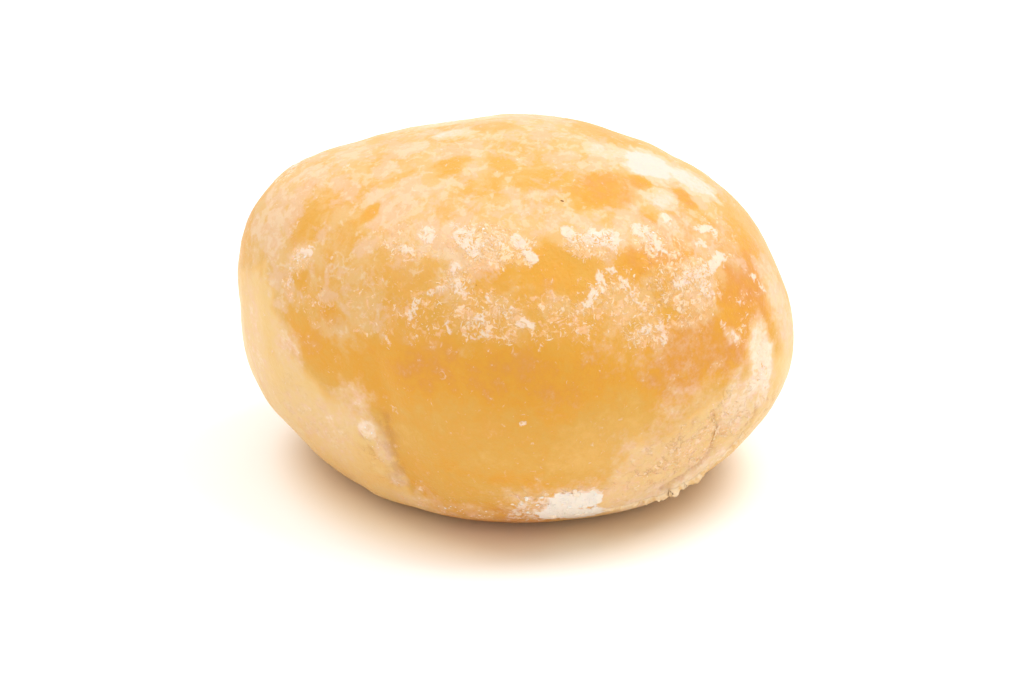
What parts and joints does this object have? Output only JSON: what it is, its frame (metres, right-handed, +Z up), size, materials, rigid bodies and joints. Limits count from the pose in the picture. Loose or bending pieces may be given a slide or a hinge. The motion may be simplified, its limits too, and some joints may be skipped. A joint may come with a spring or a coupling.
{
  "type": "beignet",
  "caption": "Round yeast-dough beignet, fried golden with a paler underside, under a patchy dusting of sugar; it rests on its flat foot.",
  "frame": {"origin": "on the table, under the middle of the beignet's box", "axes": "+Z up from the flat foot; +X along the widest way, from the paler left end to the browner right end; -Y the front that the picture shows"},
  "size_m": [0.095, 0.0816, 0.0595],
  "materials": {
    "sugared_crust": "soft golden fried crust, satin where bare and matt white where sugar lies on it"
  },
  "bodies": {
    "root": {"beignet": "sugared_crust"}
  },
  "joints": []
}
